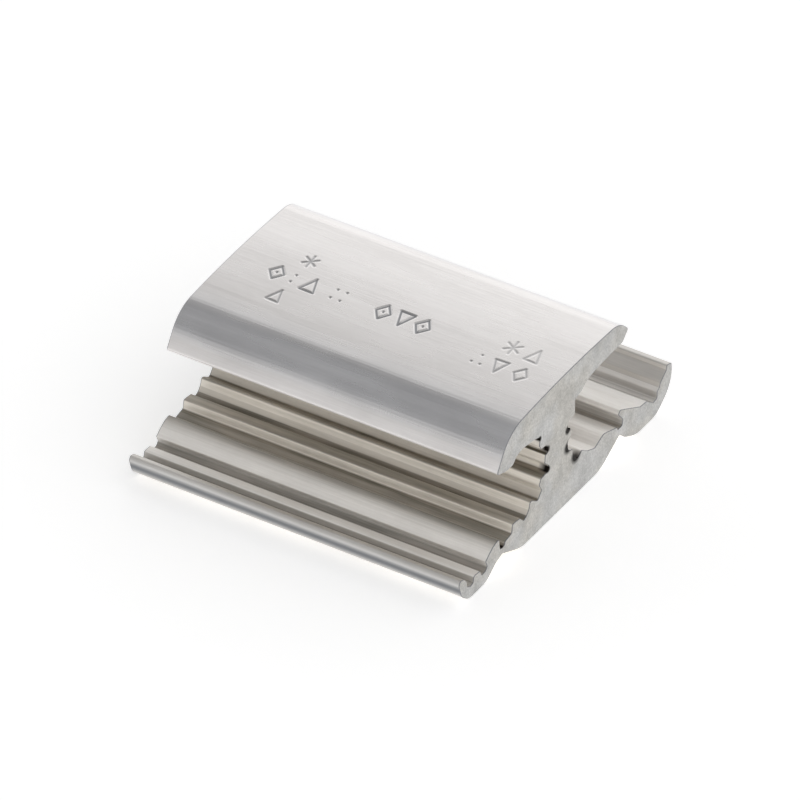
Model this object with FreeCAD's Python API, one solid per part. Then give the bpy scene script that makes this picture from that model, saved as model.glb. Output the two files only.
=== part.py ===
"""H-type compression connector: one length of aluminium extrusion, sawn off square.

Seen from its end the section is an H lying on its side. A domed cap and a flat
plate are joined by a thick web, with a conductor groove on each side of it. The
groove walls carry long ridges that bite into the conductor. Outside each groove a
curved tab hangs on a thin neck, ready to be folded over the conductor.

Millimetres. X runs along the extrusion, Y runs across it towards the larger (run)
groove and Z is up. The origin is on the flat underside, below the middle of the web.
"""

import FreeCAD, Part
import math
import os

Vector = FreeCAD.Vector

# Whole section
LENGTH = 44.5
WEB_THICKNESS = 5.9

# Conductors that the grooves are made for, and the plate under each of them
RUN_RADIUS = 5.3
TAP_RADIUS = 4.9
RUN_PLATE_THICKNESS = 4.65
TAP_PLATE_THICKNESS = 4.2

# How far the wings and the plate reach out past the middle of each groove
RUN_WING_REACH = 7.05
TAP_WING_REACH = 5.4
RUN_PLATE_REACH = 5.4
TAP_PLATE_REACH = 4.1

# Domed top: its thickness over the run groove, the drops from the crown to the
# shoulders and the wing tips, and the shoulders' distance in from the tips
CAP_THICKNESS = 3.7
CROWN_ROUND = 150.0
RUN_SHOULDER_DROP = 0.45
TAP_SHOULDER_DROP = 0.95
RUN_TIP_DROP = 2.4
TAP_TIP_DROP = 5.3
RUN_SHOULDER_IN = 2.0
TAP_SHOULDER_IN = 2.7
RUN_SHOULDER_ROUND = 4.0
TAP_SHOULDER_ROUND = 5.5

# Hinge slots and the thin necks under them
SLOT_WIDTH = 1.05
SLOT_ROUND = 0.25
PLATE_END_STEP = 0.4
NECK_THICKNESS = 0.95
NECK_ROUND = 0.45
RUN_NECK_HEIGHT = 2.4
TAP_NECK_HEIGHT = 1.8

# Fold-over tabs: width from the middle of the slot to the lip, height of the tooth
# beside the slot
RUN_TAB_WIDTH = 11.35
RUN_TAB_HEIGHT = 5.85
TAP_TAB_WIDTH = 9.3
TAP_TAB_HEIGHT = 4.35

# Underside of the plate, rising to the necks
RUN_UNDERSIDE_RISE = 4.3
TAP_UNDERSIDE_RISE = 4.0
UNDERSIDE_ROUND = 5.0

# Neighbouring roundings take at most this share of the line between them
ROUND_SHARE = 0.96

# Undersides of the wings: distance in from the tip, distance below it and rounding,
# as shares of the wing's reach
RUN_WING_SHARES = [
    (0.0, 0.0, 0.05),
    (0.177, 0.17, 0.085),
]
TAP_WING_SHARES = [
    (0.0, 0.0, 0.075),
    (0.352, 0.111, 0.185),
    (0.648, 0.12, 0.111),
]

# Ridges and notches of the groove walls, round the middle of the conductor from
# the wing to the plate: angle in degrees up from straight out, then depth beyond
# the conductor's radius and rounding as shares of that radius
RUN_WALL_SHARES = [
    (90, -0.01, 0.38),
    (113, -0.01, 0.19),
    (129, -0.01, 0.115),
    (140, 0.14, 0.095),
    (160, -0.085, 0.065),
    (164, 0.17, 0.075),
    (177, 0.16, 0.085),
    (176, 0.04, 0.055),
    (188, 0.0, 0.095),
    (192, 0.19, 0.075),
    (205, 0.225, 0.095),
    (210, 0.105, 0.075),
    (223, 0.17, 0.095),
    (232, 0.2, 0.055),
    (236, 0.0, 0.075),
    (252, 0.055, 0.075),
    (269, 0.13, 0.115),
    (290, 0.04, 0.225),
]
TAP_WALL_SHARES = [
    (76, -0.02, 0.12),
    (90, 0.0, 0.41),
    (122, 0.08, 0.2),
    (134, 0.155, 0.07),
    (143, -0.03, 0.07),
    (152, -0.03, 0.06),
    (159, 0.185, 0.08),
    (172, 0.195, 0.08),
    (171, 0.06, 0.05),
    (184, 0.02, 0.1),
    (191, 0.235, 0.08),
    (198, 0.225, 0.08),
    (205, -0.05, 0.08),
    (216, -0.04, 0.1),
    (220, 0.165, 0.06),
    (233, 0.195, 0.07),
    (242, -0.165, 0.07),
    (251, 0.01, 0.08),
    (258, 0.1, 0.06),
    (265, 0.135, 0.06),
    (274, -0.04, 0.1),
    (293, 0.0, 0.06),
    (290, 0.235, 0.06),
]

# Tabs from the slot over the top to the lip and back along the underside to the
# neck: distance out as a share of the tab's width, then height and rounding as
# shares of its height
RUN_TAB_SHARES = [
    (0.06, 0.71, 0.085),
    (-0.03, 0.915, 0.035),
    (0.01, 1.0, 0.045),
    (0.14, 0.87, 0.255),
    (0.41, 0.59, 0.05),
    (0.525, 0.575, 0.05),
    (0.66, 0.375, 0.045),
    (0.73, 0.395, 0.045),
    (0.735, 0.545, 0.035),
    (0.78, 0.615, 0.035),
    (0.795, 0.7, 0.035),
    (0.91, 0.865, 0.05),
    (0.92, 0.98, 0.035),
    (1.01, 0.935, 0.045),
    (1.03, 0.7, 0.685),
    (0.95, 0.34, 0.685),
    (0.72, 0.0, 0.51),
    (0.32, 0.0, 0.685),
    (0.105, 0.215, 0.34),
]
TAP_TAB_SHARES = [
    (0.075, 1.0, 0.07),
    (0.195, 0.955, 0.185),
    (0.29, 0.84, 0.23),
    (0.39, 0.68, 0.045),
    (0.35, 0.485, 0.07),
    (0.395, 0.38, 0.055),
    (0.48, 0.38, 0.055),
    (0.515, 0.565, 0.08),
    (0.655, 0.585, 0.07),
    (0.68, 0.39, 0.055),
    (0.74, 0.37, 0.055),
    (0.82, 0.47, 0.045),
    (0.82, 0.63, 0.09),
    (0.89, 0.805, 0.09),
    (0.97, 0.85, 0.08),
    (1.005, 0.735, 0.115),
    (0.94, 0.285, 0.46),
    (0.78, 0.0, 0.46),
    (0.375, 0.0, 0.575),
    (0.14, 0.335, 0.46),
]


def half_section(radius, plate, wing_reach, tip_up, wing, wall, plate_reach, neck, tab_size, tab, rise):
    """Corners (out, up, rounding) of one side of the H, from the wing's tip round the
    groove and the tab to the flat of the underside."""
    middle_out = WEB_THICKNESS / 2 + radius
    middle_up = plate + radius
    tip_out = middle_out + wing_reach
    slot_out = middle_out + plate_reach
    slot_floor = neck + NECK_THICKNESS
    tab_width, tab_height = tab_size
    corners = []
    for inward, below, rounding in wing:
        out = tip_out - inward * wing_reach
        up = tip_up - below * wing_reach
        corners.append((out, up, rounding * wing_reach))
    for angle, depth, rounding in wall:
        reach = radius * (1 + depth)
        out = middle_out + reach * math.cos(math.radians(angle))
        up = middle_up + reach * math.sin(math.radians(angle))
        corners.append((out, up, rounding * radius))
    corners.append((slot_out - SLOT_WIDTH / 2, slot_floor + PLATE_END_STEP, SLOT_ROUND))
    corners.append((slot_out - SLOT_WIDTH / 2, slot_floor, SLOT_ROUND))
    corners.append((slot_out + SLOT_WIDTH / 2, slot_floor, SLOT_ROUND))
    for outward, height, rounding in tab:
        corners.append((slot_out + outward * tab_width, height * tab_height, rounding * tab_height))
    corners.append((slot_out, neck, NECK_ROUND))
    corners.append((slot_out - rise, 0.0, UNDERSIDE_ROUND))
    return corners


def mirrored(corners):
    """The same corners on the other side of the web, in the opposite order."""
    return [(-out, up, rounding) for out, up, rounding in reversed(corners)]


def corner_angle(points, index):
    """Angle between the two lines that meet at a corner."""
    back = points[index - 1] - points[index]
    ahead = points[(index + 1) % len(points)] - points[index]
    return back.getAngle(ahead)


def rounded_outline(corners):
    """Closed wire in the Y-Z plane: straight lines joined by tangent arcs."""
    points = [Vector(0, out, up) for out, up, rounding in corners]
    count = len(points)
    halves = [corner_angle(points, index) / 2 for index in range(count)]
    setbacks = [corners[index][2] / math.tan(halves[index]) for index in range(count)]
    starts = []
    ends = []
    middles = []
    for index in range(count):
        before = index - 1
        after = (index + 1) % count
        here = points[index]
        room_back = (here - points[before]).Length / (setbacks[before] + setbacks[index])
        room_ahead = (points[after] - here).Length / (setbacks[after] + setbacks[index])
        setback = setbacks[index] * min(1.0, ROUND_SHARE * room_back, ROUND_SHARE * room_ahead)
        back = (points[before] - here).normalize()
        ahead = (points[after] - here).normalize()
        inward = (back + ahead).normalize()
        radius = setback * math.tan(halves[index])
        starts.append(here + back * setback)
        ends.append(here + ahead * setback)
        middles.append(here + inward * (radius / math.sin(halves[index]) - radius))
    edges = []
    for index in range(count):
        edges.append(Part.LineSegment(ends[index - 1], starts[index]).toShape())
        edges.append(Part.Arc(starts[index], middles[index], ends[index]).toShape())
    return Part.Wire(edges)


def section():
    """Face of the whole H section, in the plane through the origin."""
    crown = RUN_PLATE_THICKNESS + 2 * RUN_RADIUS + CAP_THICKNESS
    run = half_section(
        RUN_RADIUS, RUN_PLATE_THICKNESS, RUN_WING_REACH, crown - RUN_TIP_DROP, RUN_WING_SHARES, RUN_WALL_SHARES,
        RUN_PLATE_REACH, RUN_NECK_HEIGHT, (RUN_TAB_WIDTH, RUN_TAB_HEIGHT), RUN_TAB_SHARES, RUN_UNDERSIDE_RISE,
    )
    tap = half_section(
        TAP_RADIUS, TAP_PLATE_THICKNESS, TAP_WING_REACH, crown - TAP_TIP_DROP, TAP_WING_SHARES, TAP_WALL_SHARES,
        TAP_PLATE_REACH, TAP_NECK_HEIGHT, (TAP_TAB_WIDTH, TAP_TAB_HEIGHT), TAP_TAB_SHARES, TAP_UNDERSIDE_RISE,
    )
    run_tip_out = run[0][0]
    tap_tip_out = tap[0][0]
    top = [
        (TAP_SHOULDER_IN - tap_tip_out, crown - TAP_SHOULDER_DROP, TAP_SHOULDER_ROUND),
        ((run_tip_out - tap_tip_out) / 2, crown, CROWN_ROUND),
        (run_tip_out - RUN_SHOULDER_IN, crown - RUN_SHOULDER_DROP, RUN_SHOULDER_ROUND),
    ]
    return Part.Face(rounded_outline(run + mirrored(tap) + top))


def connector():
    """The section drawn out along X, its middle at the origin."""
    face = section()
    face.translate(Vector(-LENGTH / 2, 0, 0))
    return face.extrude(Vector(LENGTH, 0, 0))


os.makedirs("parts", exist_ok=True)
connector().exportStep("parts/connector_body.step")
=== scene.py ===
import math

import bmesh
import bpy
import numpy as np
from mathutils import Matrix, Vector
from mathutils.bvhtree import BVHTree


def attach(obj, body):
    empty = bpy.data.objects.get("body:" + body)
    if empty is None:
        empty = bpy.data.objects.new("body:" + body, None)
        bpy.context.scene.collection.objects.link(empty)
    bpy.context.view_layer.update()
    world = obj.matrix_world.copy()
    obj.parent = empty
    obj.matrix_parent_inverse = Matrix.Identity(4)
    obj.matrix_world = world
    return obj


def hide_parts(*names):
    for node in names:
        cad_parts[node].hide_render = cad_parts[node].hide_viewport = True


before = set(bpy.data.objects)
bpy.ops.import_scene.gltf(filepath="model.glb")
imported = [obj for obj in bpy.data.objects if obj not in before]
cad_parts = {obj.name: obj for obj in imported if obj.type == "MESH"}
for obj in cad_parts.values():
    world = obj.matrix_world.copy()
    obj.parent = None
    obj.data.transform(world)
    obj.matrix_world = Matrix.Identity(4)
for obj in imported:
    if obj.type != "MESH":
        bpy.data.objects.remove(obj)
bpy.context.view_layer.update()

MM = 0.001

# Camera: the near end's origin falls on the photograph's place for it
AZIMUTH = math.radians(32.1)
ELEVATION = math.radians(36.82)
DISTANCE = 1.4
TARGET = Vector((0.633, 0.632, 7.002)) * MM
LENS = 549.8
SENSOR_WIDTH = 36.0
CLIP = (0.1, 30.0)


# Node helpers

def new_material(name):
    """Material with an empty node tree, an output and a Principled shader."""
    material = bpy.data.materials.new(name)
    material.use_nodes = True
    tree = material.node_tree
    tree.nodes.clear()
    output = tree.nodes.new("ShaderNodeOutputMaterial")
    shader = tree.nodes.new("ShaderNodeBsdfPrincipled")
    tree.links.new(shader.outputs["BSDF"], output.inputs["Surface"])
    return material, tree, shader


def noise(tree, stretch, scale, detail, roughness):
    """Noise in object space, stretched by the three factors."""
    place = tree.nodes.new("ShaderNodeTexCoord")
    mapping = tree.nodes.new("ShaderNodeMapping")
    mapping.inputs["Scale"].default_value = stretch
    texture = tree.nodes.new("ShaderNodeTexNoise")
    texture.inputs["Scale"].default_value = scale
    texture.inputs["Detail"].default_value = detail
    texture.inputs["Roughness"].default_value = roughness
    tree.links.new(place.outputs["Object"], mapping.inputs["Vector"])
    tree.links.new(mapping.outputs["Vector"], texture.inputs["Vector"])
    return texture.outputs["Fac"]


def remap(tree, value, span, to_span=(0.0, 1.0)):
    """Linear change from one span to another, clamped."""
    node = tree.nodes.new("ShaderNodeMapRange")
    node.inputs["From Min"].default_value = span[0]
    node.inputs["From Max"].default_value = span[1]
    node.inputs["To Min"].default_value = to_span[0]
    node.inputs["To Max"].default_value = to_span[1]
    tree.links.new(value, node.inputs["Value"])
    return node.outputs["Result"]


def math_node(tree, operation, a, b=0.0):
    """Math node; either input may be a number or a socket."""
    node = tree.nodes.new("ShaderNodeMath")
    node.operation = operation
    for socket, value in zip(node.inputs, (a, b)):
        if isinstance(value, (int, float)):
            socket.default_value = value
        else:
            tree.links.new(value, socket)
    return node.outputs["Value"]


def blend(tree, a, b, share):
    """Sum of two values: a share of the first and the rest of the second."""
    first = math_node(tree, "MULTIPLY", a, share)
    second = math_node(tree, "MULTIPLY", b, 1.0 - share)
    return math_node(tree, "ADD", first, second)


def mix_colour(tree, factor, a, b):
    """Mix of two colours; the factor and the colours may be sockets."""
    node = tree.nodes.new("ShaderNodeMix")
    node.data_type = "RGBA"
    for socket, value in ((node.inputs[0], factor), (node.inputs[6], a), (node.inputs[7], b)):
        if isinstance(value, (int, float, tuple)):
            socket.default_value = value
        else:
            tree.links.new(value, socket)
    return node.outputs[2]


def bump(tree, height, distance, strength, before=None):
    """Bump node on a height in the range 0 to 1, on top of the bump before it."""
    node = tree.nodes.new("ShaderNodeBump")
    node.inputs["Distance"].default_value = distance
    node.inputs["Strength"].default_value = strength
    tree.links.new(height, node.inputs["Height"])
    if before is not None:
        tree.links.new(before, node.inputs["Normal"])
    return node.outputs["Normal"]


def attribute(tree, name):
    """Value that the mesh stores at its points."""
    node = tree.nodes.new("ShaderNodeAttribute")
    node.attribute_name = name
    return node.outputs["Fac"]


def placed(tree, axis):
    """Place along the object's X, Y or Z, in metres."""
    place = tree.nodes.new("ShaderNodeTexCoord")
    split = tree.nodes.new("ShaderNodeSeparateXYZ")
    tree.links.new(place.outputs["Object"], split.inputs["Vector"])
    return split.outputs[axis]


# Materials

# Noise: stretch along X, Y and Z, scale, detail, roughness
FINE_LINES = ((0.02, 1.0, 1.0), 5200.0, 4.0, 0.6)
BROAD_LINES = ((0.03, 1.0, 1.0), 900.0, 3.0, 0.5)
CLOUDS = ((0.35, 1.0, 1.0), 260.0, 2.0, 0.5)
SPECKS = ((0.4, 1.0, 1.0), 1500.0, 3.0, 0.6)
STREAKS = ((0.06, 1.0, 1.0), 1400.0, 3.0, 0.6)
GRAIN = ((1.0, 1.0, 1.0), 3600.0, 4.0, 0.65)
PATCHES = ((1.0, 1.0, 1.0), 520.0, 4.0, 0.6)
STAINS = ((1.0, 1.0, 1.0), 210.0, 3.0, 0.5)
SAW_LINES = ((0.0, 0.12, 1.0), 2600.0, 2.0, 0.5)

# Shares of the first noise where two are blended
FINE_IN_LINES = 0.6
CLOUD_IN_MOTTLE = 0.7
LINES_IN_TONE = 0.5
CLOUD_IN_SHEEN = 0.6
GRAIN_IN_TONE = 0.5

# Spans of noise that are drawn out to a whole range; the narrower, the more contrast
STRONG_SPAN = (0.4, 0.6)
TONE_SPAN = (0.38, 0.62)
SOFT_SPAN = (0.35, 0.65)

# Darker and lighter tone of each surface
CROWN_TONES = ((0.785, 0.76, 0.747, 1.0), (0.9, 0.875, 0.862, 1.0))
# Shoulders darker and cooler than the crown: a painted dark reflection band
SHOULDER_REFLECTION_TONES = ((0.728, 0.725, 0.742, 1.0), (0.808, 0.805, 0.823, 1.0))
# Grooves: warm metal, lighter than the crown as painted light
GROOVE_PAINTED_LIGHT_TONES = ((0.87, 0.845, 0.812, 1.0), (0.97, 0.95, 0.92, 1.0))
TAP_GROOVE_PAINTED_LIGHT_TONES = ((0.85, 0.807, 0.737, 1.0), (0.98, 0.942, 0.875, 1.0))
# Brown film, which also paints the grooves' shade
FILM_AND_SHADE_TONES = ((0.15, 0.138, 0.108, 1.0), (0.25, 0.216, 0.176, 1.0))
COOL_SAWN_TONES = ((0.42, 0.418, 0.41, 1.0), (0.64, 0.636, 0.625, 1.0))
WARM_SAWN_TONES = ((0.41, 0.398, 0.373, 1.0), (0.64, 0.624, 0.592, 1.0))
# Dull grey of stamped metal, also used as painted shade on the lips and broken edges
BRUISE_AND_SHADE_COLOUR = (0.215, 0.224, 0.24, 1.0)
# Painted black shadow in the notch roots
ROOT_SHADOW_COLOUR = (0.015, 0.012, 0.01, 1.0)

# Where one surface gives way to the next, along Z and then along Y
GROOVE_TO_CAP = (12.0 * MM, 14.0 * MM)
CROWN_TO_SHOULDER = (18.4 * MM, 17.9 * MM)
TIP_TO_SHOULDER = (15.0 * MM, 16.4 * MM)
TAB_TO_TAP_GROOVE = (-12.6 * MM, -11.8 * MM)
TAP_TO_RUN = (-1.0 * MM, 1.0 * MM)

SMOOTH_ROUGHNESS = 0.27
GROOVE_ROUGHNESS = 0.7
SHEEN = (-0.05, 0.05)
BRUISE_ROUGHNESS = 0.62
SAWN_ROUGHNESS = (0.5, 0.62)
FILM_AND_SHADE_STREAKS = (1.0, 0.85)

# Bump: distance in metres, strength
LINE_BUMP = (0.00003, 0.35)
GRAIN_BUMP = (0.00005, 0.6)

# Roots of the notches that get painted black shadow at the sawn ends: y, z, radius in
# mm. The shadow is full within a share of the radius
NOTCH_ROOTS = [
    (-4.05, 13.0, 0.5),
    (-2.3, 10.45, 0.6),
    (-2.15, 7.5, 0.55),
    (2.16, 10.4, 0.75),
    (2.26, 7.9, 1.1),
    (3.99, 5.66, 1.3),
    (-11.95, 3.0, 0.5),
]
FULL_ROOT_SHADOW = 0.55
END_ROOT_SHADOW = (20.9 * MM, 21.8 * MM)


def extruded_colour(tree, tone):
    """Bare metal: a pale crown, the shoulders darker and cooler as a painted dark reflection
    band, warm grooves lighter than the crown as painted light, the tap groove warmest.
    """
    z = placed(tree, "Z")
    y = placed(tree, "Y")
    crown = mix_colour(tree, tone, *CROWN_TONES)
    # Painted dark reflection band on the shoulders, between the crown and the tip
    reflection_band = mix_colour(tree, tone, *SHOULDER_REFLECTION_TONES)
    below_crown = remap(tree, z, CROWN_TO_SHOULDER)
    above_tip = remap(tree, z, TIP_TO_SHOULDER)
    cap = mix_colour(tree, math_node(tree, "MULTIPLY", below_crown, above_tip), crown, reflection_band)
    # Warm groove metal, lighter than the crown as painted light
    groove = mix_colour(tree, tone, *GROOVE_PAINTED_LIGHT_TONES)
    tap_groove = mix_colour(tree, tone, *TAP_GROOVE_PAINTED_LIGHT_TONES)
    off_tab = remap(tree, y, TAB_TO_TAP_GROOVE)
    off_run = remap(tree, y, TAP_TO_RUN, (1.0, 0.0))
    groove = mix_colour(tree, math_node(tree, "MULTIPLY", off_tab, off_run), groove, tap_groove)
    return mix_colour(tree, remap(tree, z, GROOVE_TO_CAP), groove, cap)


def with_film_and_shade(tree, colour):
    """The colour under a streaky brown film, as thick as the mesh says; the film also paints
    the grooves' shade.
    """
    streaks = noise(tree, *STREAKS)
    film_and_shade_colour = mix_colour(tree, remap(tree, streaks, STRONG_SPAN), *FILM_AND_SHADE_TONES)
    thinned = remap(tree, streaks, SOFT_SPAN, FILM_AND_SHADE_STREAKS)
    film_and_shade_thickness = math_node(tree, "MULTIPLY", attribute(tree, "film_and_shade"), thinned)
    return mix_colour(tree, film_and_shade_thickness, colour, film_and_shade_colour)


def notch_root_shadow(tree):
    """Painted black shadow in the roots of the notches, next to the sawn ends."""
    x, y, z = (placed(tree, axis) for axis in "XYZ")
    total = None
    for root_y, root_z, size in NOTCH_ROOTS:
        off_y = math_node(tree, "SUBTRACT", y, root_y * MM)
        off_z = math_node(tree, "SUBTRACT", z, root_z * MM)
        square_y = math_node(tree, "MULTIPLY", off_y, off_y)
        square_z = math_node(tree, "MULTIPLY", off_z, off_z)
        away = math_node(tree, "SQRT", math_node(tree, "ADD", square_y, square_z))
        spot = remap(tree, away, (FULL_ROOT_SHADOW * size * MM, size * MM), (1.0, 0.0))
        total = spot if total is None else math_node(tree, "MAXIMUM", total, spot)
    near_end = remap(tree, math_node(tree, "ABSOLUTE", x), END_ROOT_SHADOW)
    return math_node(tree, "MULTIPLY", total, near_end)


def extruded_aluminium():
    """Aluminium as it leaves the die, with lines along X: smooth where the mesh says so
    and rough elsewhere, brown film in the grooves that also paints their shade, dull grey
    where the metal is bruised by stamping and as painted shade on the tabs' lips and broken
    edges, and painted black shadow in the notches at the sawn ends."""
    material, tree, shader = new_material("extruded_aluminium")
    broad = noise(tree, *BROAD_LINES)
    cloud = noise(tree, *CLOUDS)
    lines = blend(tree, noise(tree, *FINE_LINES), broad, FINE_IN_LINES)
    mottle = blend(tree, cloud, noise(tree, *SPECKS), CLOUD_IN_MOTTLE)
    tone = remap(tree, blend(tree, lines, mottle, LINES_IN_TONE), TONE_SPAN)
    bruise_and_shade = attribute(tree, "bruise_and_shade")
    # Brown film, with painted shade in the notches, under the tap wing and on the lips
    colour = with_film_and_shade(tree, extruded_colour(tree, tone))
    # Dull grey of stamped metal, and painted shade on the tabs' lips and broken edges
    colour = mix_colour(tree, bruise_and_shade, colour, BRUISE_AND_SHADE_COLOUR)
    # Painted black shadow in the notch roots
    colour = mix_colour(tree, notch_root_shadow(tree), colour, ROOT_SHADOW_COLOUR)
    tree.links.new(colour, shader.inputs["Base Color"])
    sheen = remap(tree, blend(tree, cloud, broad, CLOUD_IN_SHEEN), SOFT_SPAN, SHEEN)
    smooth = attribute(tree, "smooth")
    level = remap(tree, smooth, (0.0, 1.0), (GROOVE_ROUGHNESS, SMOOTH_ROUGHNESS))
    level = math_node(tree, "ADD", level, sheen)
    dull = math_node(tree, "MULTIPLY", bruise_and_shade, BRUISE_ROUGHNESS)
    tree.links.new(math_node(tree, "MAXIMUM", level, dull), shader.inputs["Roughness"])
    tree.links.new(bump(tree, lines, *LINE_BUMP), shader.inputs["Normal"])
    shader.inputs["Metallic"].default_value = 1.0
    return material


def sawn_aluminium():
    """Sawn end: matte, grainy and blotched, with faint straight saw lines."""
    material, tree, shader = new_material("sawn_aluminium")
    grain = noise(tree, *GRAIN)
    patch = noise(tree, *PATCHES)
    tone = remap(tree, blend(tree, grain, patch, GRAIN_IN_TONE), TONE_SPAN)
    cool = mix_colour(tree, tone, *COOL_SAWN_TONES)
    warm = mix_colour(tree, tone, *WARM_SAWN_TONES)
    colour = mix_colour(tree, remap(tree, noise(tree, *STAINS), STRONG_SPAN), cool, warm)
    # Painted black shadow in the notch roots
    colour = mix_colour(tree, notch_root_shadow(tree), colour, ROOT_SHADOW_COLOUR)
    tree.links.new(colour, shader.inputs["Base Color"])
    tree.links.new(remap(tree, patch, SOFT_SPAN, SAWN_ROUGHNESS), shader.inputs["Roughness"])
    rough = bump(tree, grain, *GRAIN_BUMP)
    sawn = bump(tree, noise(tree, *SAW_LINES), *LINE_BUMP, rough)
    tree.links.new(sawn, shader.inputs["Normal"])
    shader.inputs["Metallic"].default_value = 1.0
    return material


# The connector's skin

# Outline: welding distance, least X of an end face's normal, longest piece, and the
# share of the whole height above which a place is on the dome
WELD = 1e-7
END_NORMAL = 0.9
FINE_PIECE = 0.1 * MM
DOME_HEIGHT = 0.9
DOME_STRIP = (-5.1 * MM, 7.2 * MM)

# Broken edges at the sawn ends, and how dull they are, which also paints shade on them
BEVEL = 0.045 * MM
RIM_SHADE = 0.9

# Die lines: length and start along the outline in mm, half depth in mm
DIE_LINES = [(0.83, 0.0, 0.006), (0.57, 1.3, 0.005), (0.43, 4.1, 0.004)]

# Smooth metal: the height at which the cap starts and the rise to full, then how
# smooth the tabs' lips are and where they start
CAP_FROM = 13.2 * MM
CAP_RISE = 2.4 * MM
LIP_SMOOTH = 0.45
SMOOTH_LIP_FROM = 18.0 * MM
SMOOTH_LIP_RISE = 2.0 * MM

# Dull band of painted shade on the outside of the tabs' lips: where it starts, its
# height and half height, and how much of the normal has to point outwards
LIP_BAND_SHADE = 0.95
LIP_FROM = 19.5 * MM
LIP_RISE = 0.5 * MM
LIP_BAND = 2.3 * MM
LIP_BAND_HALF = 0.9 * MM
LIP_OUTWARD = 0.5
LIP_OUTWARD_GAIN = 3.0

# Rays that feel how hollow and how covered a place is: half spreads and reaches
RAYS = 17
RAY_START = 0.02 * MM
NOTCH_SPREAD = math.radians(85)
NOTCH_RANGE = 3.0 * MM
COVER_SPREAD = math.radians(8)
COVER_RANGE = 20.0 * MM

# Film in the notches, which also paints their shade: its amount, how hollow a place
# must be on the tap tab and elsewhere, the rise to full, and how far it must look up
NOTCH_FILM_AND_SHADE = 0.8
TAB_HOLLOW = 0.12
LEAST_HOLLOW = 0.2
HOLLOW_RISE = 0.25
NOTCH_UP = -0.1
NOTCH_UP_GAIN = 1.5

# Film under the wings, which paints the shade there: its amount in the two grooves, how
# far a place must look up, and the share that is left on the open parts of a plate
TAP_WING_SHADE = 1.0
RUN_WING_SHADE = 0.1
COVER_GAIN = 2.5
COVER_UP = 0.55
COVER_UP_GAIN = 3.0
OPEN_SHARE = 0.65
OPEN_HOLLOW = 0.05
OPEN_RISE = 0.2
PLATE_END = 11.3 * MM

# Painted shade on the upper side of the tabs' lips, in the film's colour
LIP_TOP_SHADE = 0.35
LIP_WIDTH = 2.8 * MM
LIP_UP_GAIN = 2.0

# Stamped figures as strokes (x, y, x, y) in a square from -1 to 1, all generic
DIAMOND = [(0, 1, 1, 0), (1, 0, 0, -1), (0, -1, -1, 0), (-1, 0, 0, 1)]
TRIANGLE = [(-1, -1, 1, -1), (1, -1, 0, 1), (0, 1, -1, -1)]
WEDGE = [(-1, 1, 1, 1), (1, 1, 0, -1), (0, -1, -1, 1)]
STAR = [(-1, -0.55, 1, 0.55), (-1, 0.55, 1, -0.55), (0, -1, 0, 1)]
FOUR_DOTS = [
    (-0.7, 0.7, -0.7, 0.7), (0.7, 0.7, 0.7, 0.7),
    (0.7, -0.7, 0.7, -0.7), (-0.7, -0.7, -0.7, -0.7),
]
THREE_DOTS = [(0, 0.8, 0, 0.8), (-0.7, -0.6, -0.7, -0.6), (0.7, -0.6, 0.7, -0.6)]
TWO_DOTS = [(0, 0.6, 0, 0.6), (0, -0.6, 0, -0.6)]
DOTTED_DIAMOND = DIAMOND + [(0, 0, 0, 0)]

# Figure, middle along and across the dome, half width, half height, lean in degrees,
# depth; lengths in mm
STAMPS = [
    (DOTTED_DIAMOND, -16.0, 0.6, 0.95, 1.25, 2, 0.09),
    (TWO_DOTS, -13.75, 0.6, 0.3, 1.1, 0, 0.09),
    (TRIANGLE, -11.3, 0.6, 0.95, 1.2, -1, 0.09),
    (FOUR_DOTS, -7.6, 0.6, 0.9, 1.2, 0, 0.09),
    (DOTTED_DIAMOND, -1.6, 0.6, 0.95, 1.35, 1, 0.11),
    (WEDGE, 1.05, 0.6, 0.95, 1.25, 0, 0.11),
    (DOTTED_DIAMOND, 3.7, 0.6, 0.95, 1.35, -2, 0.11),
    (STAR, -13.8, 4.35, 0.8, 1.1, 4, 0.065),
    (TRIANGLE, -13.7, -3.0, 0.8, 1.05, -3, 0.065),
    (STAR, 14.6, 2.55, 0.9, 1.2, 3, 0.045),
    (TRIANGLE, 17.6, 2.55, 0.85, 1.15, -2, 0.045),
    (THREE_DOTS, 12.35, -1.3, 0.8, 1.1, 0, 0.065),
    (WEDGE, 14.95, -1.3, 0.85, 1.1, 2, 0.065),
    (DIAMOND, 17.9, -1.3, 0.85, 1.2, -3, 0.06),
]

# Step of the mesh through the figures and how far past them, the strokes' section, the
# lip that stamping raises (share of the depth, place and spread as shares of the half
# width) and the depth at which the metal is fully dull
STAMP_STEP = 0.085 * MM
STAMP_REACH = 0.5 * MM
STROKE_HALF_WIDTH = 0.26 * MM
STROKE_POWER = 1.5
STAMP_LIP = 0.2
STAMP_LIP_PLACE = 1.25
STAMP_LIP_SPREAD = 0.35
STAMP_DULL = 0.8
STAMP_DULL_DEPTH = 0.09 * MM


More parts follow.
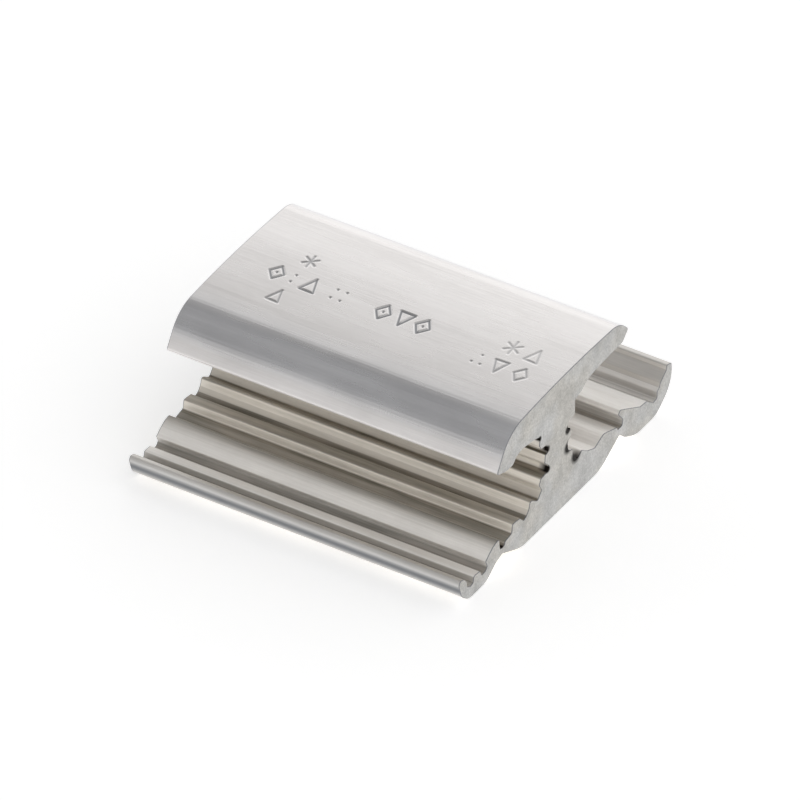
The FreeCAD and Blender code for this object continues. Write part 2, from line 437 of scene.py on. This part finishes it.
def end_outline(node):
    """Closed outline (y, z) of the CAD solid's sawn end, anticlockwise seen from +X,
    with its long straight pieces cut into short ones."""
    shape = bmesh.new()
    shape.from_mesh(node.data)
    bmesh.ops.remove_doubles(shape, verts=shape.verts, dist=WELD)
    shape.verts.index_update()
    places = {vert.index: vert.co.copy() for vert in shape.verts}
    beside = {}
    for edge in shape.edges:
        if {face.normal.x > END_NORMAL for face in edge.link_faces} == {True, False}:
            one, other = (vert.index for vert in edge.verts)
            beside.setdefault(one, []).append(other)
            beside.setdefault(other, []).append(one)
    shape.free()
    first = min(beside)
    loop = [first, beside[first][0]]
    while len(loop) < len(beside):
        one, other = beside[loop[-1]]
        loop.append(other if one == loop[-2] else one)
    points = np.array([(places[index].y, places[index].z) for index in loop])
    following = np.roll(points, -1, axis=0)
    if np.sum(points[:, 0] * following[:, 1] - following[:, 0] * points[:, 1]) < 0:
        points = points[::-1]
        following = np.roll(points, -1, axis=0)
    fine = []
    for here, there in zip(points, following):
        pieces = max(1, math.ceil(np.linalg.norm(there - here) / FINE_PIECE))
        fine += [here + (there - here) * step / pieces for step in range(pieces)]
    return np.array(fine)


def with_smooth_dome(points):
    """The outline, starting with an even, fine row of points along the stamped strip of
    the dome, and the number of points in that row."""
    low, high = DOME_STRIP
    on_top = points[:, 1] > DOME_HEIGHT * points[:, 1].max()
    on_dome = (points[:, 0] > low) & (points[:, 0] < high) & on_top
    first = int(np.argmax(on_dome & ~np.roll(on_dome, 1)))
    points = np.roll(points, -first, axis=0)
    count = int(on_dome.sum())
    row = points[:count]
    curve = np.polyfit(row[:, 0], row[:, 1], 2)
    steps = math.ceil((row[0, 0] - row[-1, 0]) / STAMP_STEP)
    across = np.linspace(row[0, 0], row[-1, 0], steps + 1)
    height = np.polyval(curve, across)
    misses = [row[-1, 1] - height[-1], row[0, 1] - height[0]]
    height += np.interp(across, [across[-1], across[0]], misses)
    return np.vstack([np.column_stack([across, height]), points[count:]]), steps + 1


def outward(points):
    """Unit normals of an anticlockwise outline; longer neighbours count for more."""
    ahead = np.roll(points, -1, axis=0) - points
    along = ahead + np.roll(ahead, 1, axis=0)
    along /= np.linalg.norm(along, axis=1)[:, None]
    return np.column_stack([along[:, 1], -along[:, 0]])


def with_die_lines(points, normals, smooth):
    """The outline with the shallow lines of the die cut into it. They fade out where the
    metal is half smooth, so the cap has none."""
    pieces = np.linalg.norm(points - np.roll(points, 1, axis=0), axis=1)
    place = np.cumsum(pieces) / MM
    depth = np.zeros(len(points))
    for length, start, deep in DIE_LINES:
        depth += deep * MM * (1.0 + np.sin(2.0 * math.pi * place / length + start))
    depth *= np.clip(1.0 - 2.0 * smooth, 0.0, 1.0)
    return points - normals * depth[:, None]


def share_free(tree, start, middle, spread, reach):
    """Share of a fan of rays in the plane of the section that meets nothing near."""
    total = 0.0
    weight = 0.0
    for ray in range(RAYS):
        turn = spread * (2 * ray / (RAYS - 1) - 1)
        way = Vector((0.0, math.cos(middle + turn), math.sin(middle + turn)))
        away = tree.ray_cast(start, way, reach)[3]
        total += math.cos(turn) * (1.0 if away is None else away / reach)
        weight += math.cos(turn)
    return total / weight


def clamp(value):
    """The value, kept between 0 and 1."""
    return min(max(value, 0.0), 1.0)


def film_and_shade(node, points, normals):
    """How much brown film and painted shade each outline point gets, 0 to 1: most on faces
    that look up from under the tap wing, then in every narrow notch, then on the tabs' lips."""
    polygons = [list(face.vertices) for face in node.data.polygons]
    tree = BVHTree.FromPolygons([vert.co for vert in node.data.vertices], polygons)
    amounts = []
    for (y, z), (out_y, out_z) in zip(points, normals):
        start = Vector((0.0, y + out_y * RAY_START, z + out_z * RAY_START))
        hollow = 1.0 - share_free(tree, start, math.atan2(out_z, out_y), NOTCH_SPREAD, NOTCH_RANGE)
        cover = 1.0 - share_free(tree, start, math.pi / 2, COVER_SPREAD, COVER_RANGE)
        least = TAB_HOLLOW if y < -PLATE_END else LEAST_HOLLOW
        notch = clamp((hollow - least) / HOLLOW_RISE) * clamp((out_z - NOTCH_UP) * NOTCH_UP_GAIN)
        sheltered = clamp(cover * COVER_GAIN) * clamp((out_z - COVER_UP) * COVER_UP_GAIN)
        # Painted shade under the wings, far more in the tap groove than in the run groove
        sheltered *= TAP_WING_SHADE if y < 0 else RUN_WING_SHADE
        if abs(y) < PLATE_END:
            full = clamp((hollow - OPEN_HOLLOW) / OPEN_RISE)
            sheltered *= OPEN_SHARE + (1.0 - OPEN_SHARE) * full
        amounts.append(max(sheltered, NOTCH_FILM_AND_SHADE * notch))
    reach = np.where(points[:, 0] < 0, -points[:, 0].min(), points[:, 0].max())
    on_lip = np.abs(points[:, 0]) > reach - LIP_WIDTH
    upward = np.clip(LIP_UP_GAIN * normals[:, 1], 0.0, 1.0)
    return np.maximum(amounts, LIP_TOP_SHADE * on_lip * upward)


def lip_shade_band(points, normals):
    """Dull grey band of painted shade along the outside of the tabs' lips."""
    band = np.clip((np.abs(points[:, 0]) - LIP_FROM) / LIP_RISE, 0.0, 1.0)
    out = normals[:, 0] * np.sign(points[:, 0])
    band *= np.clip(LIP_OUTWARD_GAIN * (out - LIP_OUTWARD), 0.0, 1.0)
    return LIP_BAND_SHADE * band * np.exp(-((points[:, 1] - LIP_BAND) / LIP_BAND_HALF) ** 2)


def smoothness(points):
    """1 on the cap, less on the outer lips of the tabs and 0 in the rougher grooves."""
    y, z = points[:, 0], points[:, 1]
    cap = np.clip((z - CAP_FROM) / CAP_RISE, 0.0, 1.0)
    lips = LIP_SMOOTH * np.clip((np.abs(y) - SMOOTH_LIP_FROM) / SMOOTH_LIP_RISE, 0.0, 1.0)
    return np.maximum(cap, lips)


def stroke_distance(x, y, stroke):
    """Distance of grid points from a straight stroke, which may be a single dot."""
    x0, y0, x1, y1 = stroke
    run = (x1 - x0) ** 2 + (y1 - y0) ** 2
    share = 0.0
    if run > 0:
        share = np.clip(((x - x0) * (x1 - x0) + (y - y0) * (y1 - y0)) / run, 0.0, 1.0)
    return np.hypot(x - x0 - share * (x1 - x0), y - y0 - share * (y1 - y0))


def stamped_depth(x, y):
    """Depth of the stamped figures at grid points, with the lip that stamping raises."""
    depth = np.zeros_like(x)
    lip = np.zeros_like(x)
    for figure, middle_x, middle_y, half_width, half_height, lean, deep in STAMPS:
        cosine, sine = math.cos(math.radians(lean)), math.sin(math.radians(lean))
        for x0, y0, x1, y1 in figure:
            ends = []
            for across, up in ((x0, y0), (x1, y1)):
                across, up = across * half_width, up * half_height
                ends.append((middle_x + across * cosine - up * sine) * MM)
                ends.append((middle_y + across * sine + up * cosine) * MM)
            away = stroke_distance(x, y, ends) / STROKE_HALF_WIDTH
            groove = np.cos(np.clip(away, 0.0, 1.0) * math.pi / 2) ** STROKE_POWER
            raised = np.exp(-((away - STAMP_LIP_PLACE) / STAMP_LIP_SPREAD) ** 2)
            depth = np.maximum(depth, deep * MM * groove)
            lip = np.maximum(lip, STAMP_LIP * deep * MM * raised)
    return depth - np.where(depth > 0, 0.0, lip)


def stations(half):
    """Places along X: the bevelled ends, and a fine step through the stamped figures."""
    places = {-half + BEVEL, -half + 3 * BEVEL, half - 3 * BEVEL, half - BEVEL}
    for stamp in STAMPS:
        middle = stamp[1] * MM
        reach = stamp[3] * MM + STAMP_REACH
        steps = math.ceil(2 * reach / STAMP_STEP)
        for step in range(steps + 1):
            places.add(round((middle - reach) / STAMP_STEP + step) * STAMP_STEP)
    return [-half] + sorted(places) + [half]


def with_shaded_rims(value, count):
    """A value for each place along X, duller with painted shade at the two places next to each
    end.
    """
    values = [value] * count
    for ring in (0, 1, -2, -1):
        values[ring] = max(RIM_SHADE, value)
    return values


def side_faces(columns):
    """Faces between neighbouring columns of points along X. Between a fine and a coarse
    column, one many-sided face takes up the long stretch between the bevels."""
    faces = []
    for here, there in zip(columns, columns[1:] + columns[:1]):
        same = len(here) == len(there)
        steps = range(len(here) - 1) if same else (0, 1, -3, -2)
        faces += [(here[k], there[k], there[k + 1], here[k + 1]) for k in steps]
        if not same:
            faces.append(tuple(here[-3:1:-1]) + tuple(there[2:-2]))
    return faces


def connector_skin():
    """The CAD solid's surface drawn anew along X: broken end edges, stamped figures on
    the dome, one material each for the extruded sides and the sawn ends."""
    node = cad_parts["connector_body"]
    points, dome_count = with_smooth_dome(end_outline(node))
    normals = outward(points)
    # Brown film and painted shade, from how hollow and how covered each point is
    film_and_shade_amounts = film_and_shade(node, points, normals)
    smooth = smoothness(points)
    # Painted shade on the outside of the tabs' lips
    dull = lip_shade_band(points, normals)
    points = with_die_lines(points, normals, smooth)
    inner = points - normals * BEVEL
    fine = stations(max(vert.co.x for vert in node.data.vertices))
    coarse = fine[:3] + fine[-3:]
    verts = []
    columns = []
    film_and_shade_values = []
    smooth_values = []
    lip_and_rim_shade_values = []
    for index, (point, inset) in enumerate(zip(points, inner)):
        places = fine if index < dome_count else coarse
        count = len(places)
        columns.append(list(range(len(verts), len(verts) + count)))
        for number, x in enumerate(places):
            y, z = inset if number in (0, count - 1) else point
            verts.append((x, y, z))
        film_and_shade_values += [film_and_shade_amounts[index]] * count
        smooth_values += [smooth[index]] * count
        # Painted shade on the lips, and at the broken edges next to each end
        lip_and_rim_shade_values += with_shaded_rims(dull[index], count)
    verts = np.array(verts)
    stamped = stamped_depth(verts[:, 0], verts[:, 1])
    stamped[verts[:, 2] < DOME_HEIGHT * verts[:, 2].max()] = 0.0
    verts[:, 2] = np.minimum(verts[:, 2] - stamped, points[:, 1].max())
    stamp_dull = STAMP_DULL * np.clip(stamped / STAMP_DULL_DEPTH, 0.0, 1.0)
    faces = side_faces(columns)
    sides = len(faces)
    faces.append(tuple(column[-1] for column in columns))
    faces.append(tuple(column[0] for column in reversed(columns)))
    mesh = bpy.data.meshes.new("connector_skin")
    mesh.from_pydata([tuple(vert) for vert in verts], [], faces)
    mesh.materials.append(extruded_aluminium())
    mesh.materials.append(sawn_aluminium())
    mesh.polygons.foreach_set("material_index", [0] * sides + [1, 1])
    mesh.polygons.foreach_set("use_smooth", [True] * len(faces))
    # Dull stamped metal, and painted shade on the lips and broken edges
    bruises_and_shade = np.maximum(stamp_dull, lip_and_rim_shade_values)
    for name, values in (("film_and_shade", film_and_shade_values), ("smooth", smooth_values), ("bruise_and_shade", bruises_and_shade)):
        stored = mesh.attributes.new(name, "FLOAT", "POINT")
        stored.data.foreach_set("value", list(values))
    mesh.validate()
    mesh.update()
    skin = bpy.data.objects.new("connector_skin", mesh)
    bpy.context.scene.collection.objects.link(skin)
    skin.modifiers.new("weighted_normals", "WEIGHTED_NORMAL")
    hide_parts("connector_body")
    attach(skin, "root")


# Studio

# Light round the X axis, from level behind (0) over the top (0.5) to level in front (1),
# as shares of LIGHT_SCALE: the main light, which the cap mirrors towards the camera, and
# the plainer light from the right and from the far left
LIGHT_SCALE = 2.3
MAIN_LIGHT = [
    (0.08, 0.44), (0.12, 0.48), (0.165, 0.56), (0.19, 0.49), (0.21, 0.39), (0.23, 0.34),
    (0.265, 0.37), (0.29, 0.25), (0.36, 0.14), (0.46, 0.14), (0.53, 0.165), (0.63, 0.16),
    (0.7, 0.145), (0.8, 0.155), (0.87, 0.22), (0.93, 0.4), (1.0, 0.43),
]
SIDE_LIGHT = [(0.0, 0.5), (0.15, 0.5), (0.3, 0.45), (0.5, 0.42), (0.7, 0.45), (1.0, 0.5)]

# How far the directions point right or left where the side light comes in, and how far
# up where the white of the floor's far edge fades out
TO_RIGHT = (-0.05, 0.3)
TO_LEFT = (-0.65, -0.85)
HORIZON = (0.06, 0.12)

FLOOR_HALF = 6.0
FLOOR_GREY = (0.9, 0.9, 0.9, 1.0)
FLOOR_ROUGHNESS = 0.9
FLOOR_LIFT = 0.34
WHITE = (1.0, 1.0, 1.0, 1.0)


def floor():
    """Plain white floor. Seen directly or in the metal it is lifted to white, and it
    keeps the shadow."""
    mesh = bpy.data.meshes.new("floor")
    half = FLOOR_HALF
    corners = [(-half, -half, 0), (half, -half, 0), (half, half, 0), (-half, half, 0)]
    mesh.from_pydata(corners, [], [(0, 1, 2, 3)])
    plane = bpy.data.objects.new("floor", mesh)
    bpy.context.scene.collection.objects.link(plane)
    material, tree, shader = new_material("floor")
    shader.inputs["Base Color"].default_value = FLOOR_GREY
    shader.inputs["Roughness"].default_value = FLOOR_ROUGHNESS
    shader.inputs["Specular IOR Level"].default_value = 0.0
    rays = tree.nodes.new("ShaderNodeLightPath")
    seen = math_node(tree, "MAXIMUM", rays.outputs["Is Camera Ray"], rays.outputs["Is Glossy Ray"])
    lift = math_node(tree, "MULTIPLY", seen, FLOOR_LIFT)
    tree.links.new(lift, shader.inputs["Emission Strength"])
    shader.inputs["Emission Color"].default_value = WHITE
    mesh.materials.append(material)


def ramp(tree, value, stops):
    """Grey colour ramp, straight between (place, level) stops."""
    node = tree.nodes.new("ShaderNodeValToRGB")
    node.color_ramp.interpolation = "LINEAR"
    elements = node.color_ramp.elements
    while len(elements) < len(stops):
        elements.new(0.5)
    for element, (place, level) in zip(elements, stops):
        element.position = place
        element.color = (level, level, level, 1.0)
    tree.links.new(value, node.inputs["Fac"])
    return node.outputs["Color"]


def surroundings():
    """Pale studio without lamps: brighter low behind and low in front, dimmer overhead,
    plain light from the sides, and white at floor level all round."""
    world = bpy.data.worlds.new("studio")
    bpy.context.scene.world = world
    world.use_nodes = True
    tree = world.node_tree
    tree.nodes.clear()
    output = tree.nodes.new("ShaderNodeOutputWorld")
    background = tree.nodes.new("ShaderNodeBackground")
    place = tree.nodes.new("ShaderNodeTexCoord")
    split = tree.nodes.new("ShaderNodeSeparateXYZ")
    tree.links.new(place.outputs["Generated"], split.inputs["Vector"])
    x, y, z = (split.outputs[name] for name in "XYZ")
    above = math_node(tree, "MAXIMUM", z)
    turn = math_node(tree, "DIVIDE", math_node(tree, "ARCTAN2", above, y), math.pi)
    aside = math_node(tree, "MAXIMUM", remap(tree, x, TO_RIGHT), remap(tree, x, TO_LEFT))
    colour = mix_colour(tree, aside, ramp(tree, turn, MAIN_LIGHT), ramp(tree, turn, SIDE_LIGHT))
    light = math_node(tree, "MULTIPLY", colour, LIGHT_SCALE)
    level = math_node(tree, "MAXIMUM", light, remap(tree, z, HORIZON, (1.0, 0.0)))
    tree.links.new(level, background.inputs["Strength"])
    background.inputs["Color"].default_value = WHITE
    tree.links.new(background.outputs["Background"], output.inputs["Surface"])


def camera():
    """Camera at the photograph's viewing angle."""
    back = Vector((
        math.sin(AZIMUTH) * math.cos(ELEVATION),
        -math.cos(AZIMUTH) * math.cos(ELEVATION),
        math.sin(ELEVATION),
    ))
    view = bpy.data.cameras.new("camera")
    view.lens = LENS
    view.sensor_width = SENSOR_WIDTH
    view.clip_start, view.clip_end = CLIP
    holder = bpy.data.objects.new("camera", view)
    bpy.context.scene.collection.objects.link(holder)
    holder.location = TARGET + back * DISTANCE
    holder.rotation_euler = back.to_track_quat("Z", "Y").to_euler()
    bpy.context.scene.camera = holder


connector_skin()
floor()
surroundings()
camera()
bpy.context.scene.view_settings.view_transform = "Standard"
